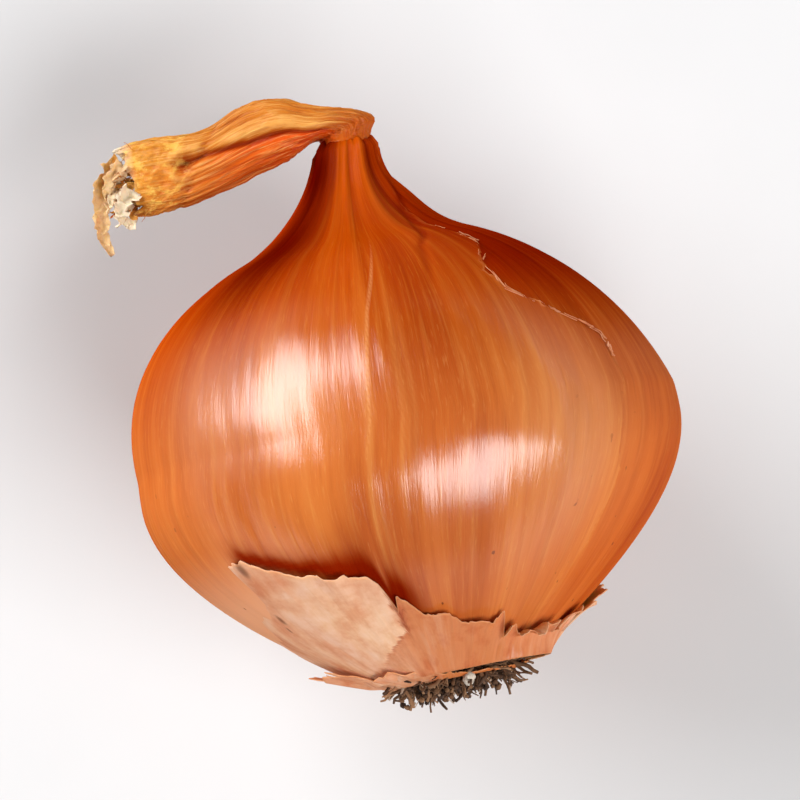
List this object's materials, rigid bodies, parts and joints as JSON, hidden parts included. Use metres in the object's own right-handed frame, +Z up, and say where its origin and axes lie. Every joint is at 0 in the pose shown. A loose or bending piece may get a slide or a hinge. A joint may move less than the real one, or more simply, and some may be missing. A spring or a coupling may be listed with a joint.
{
  "type": "shallot",
  "caption": "Shallot lying on its side: a round glossy bulb tapering to a neck, with a withered leaf folded over at the top, torn papery skin round its base and a tuft of dried roots.",
  "frame": {"origin": "middle of the small flat spot on the belly that the shallot rests on", "axes": "+Z up from the flat spot; +Y along the bulb from the roots to the neck; the withered leaf bends towards -X"},
  "size_m": [0.0476, 0.056, 0.0455],
  "materials": {
    "bulb_skin": "thin, tight, glossy copper-brown skin with fine lengthwise veins",
    "torn_skin": "dry, papery, pale copper-pink, satin",
    "dried_roots": "matt, corky and earthy, dark brown",
    "dry_leaf": "crumpled, fibrous, amber to orange, satin"
  },
  "bodies": {
    "root": {"bulb": "bulb_skin", "torn_skin": "torn_skin", "root_tuft": "dried_roots", "dry_leaf": "dry_leaf"}
  },
  "joints": []
}
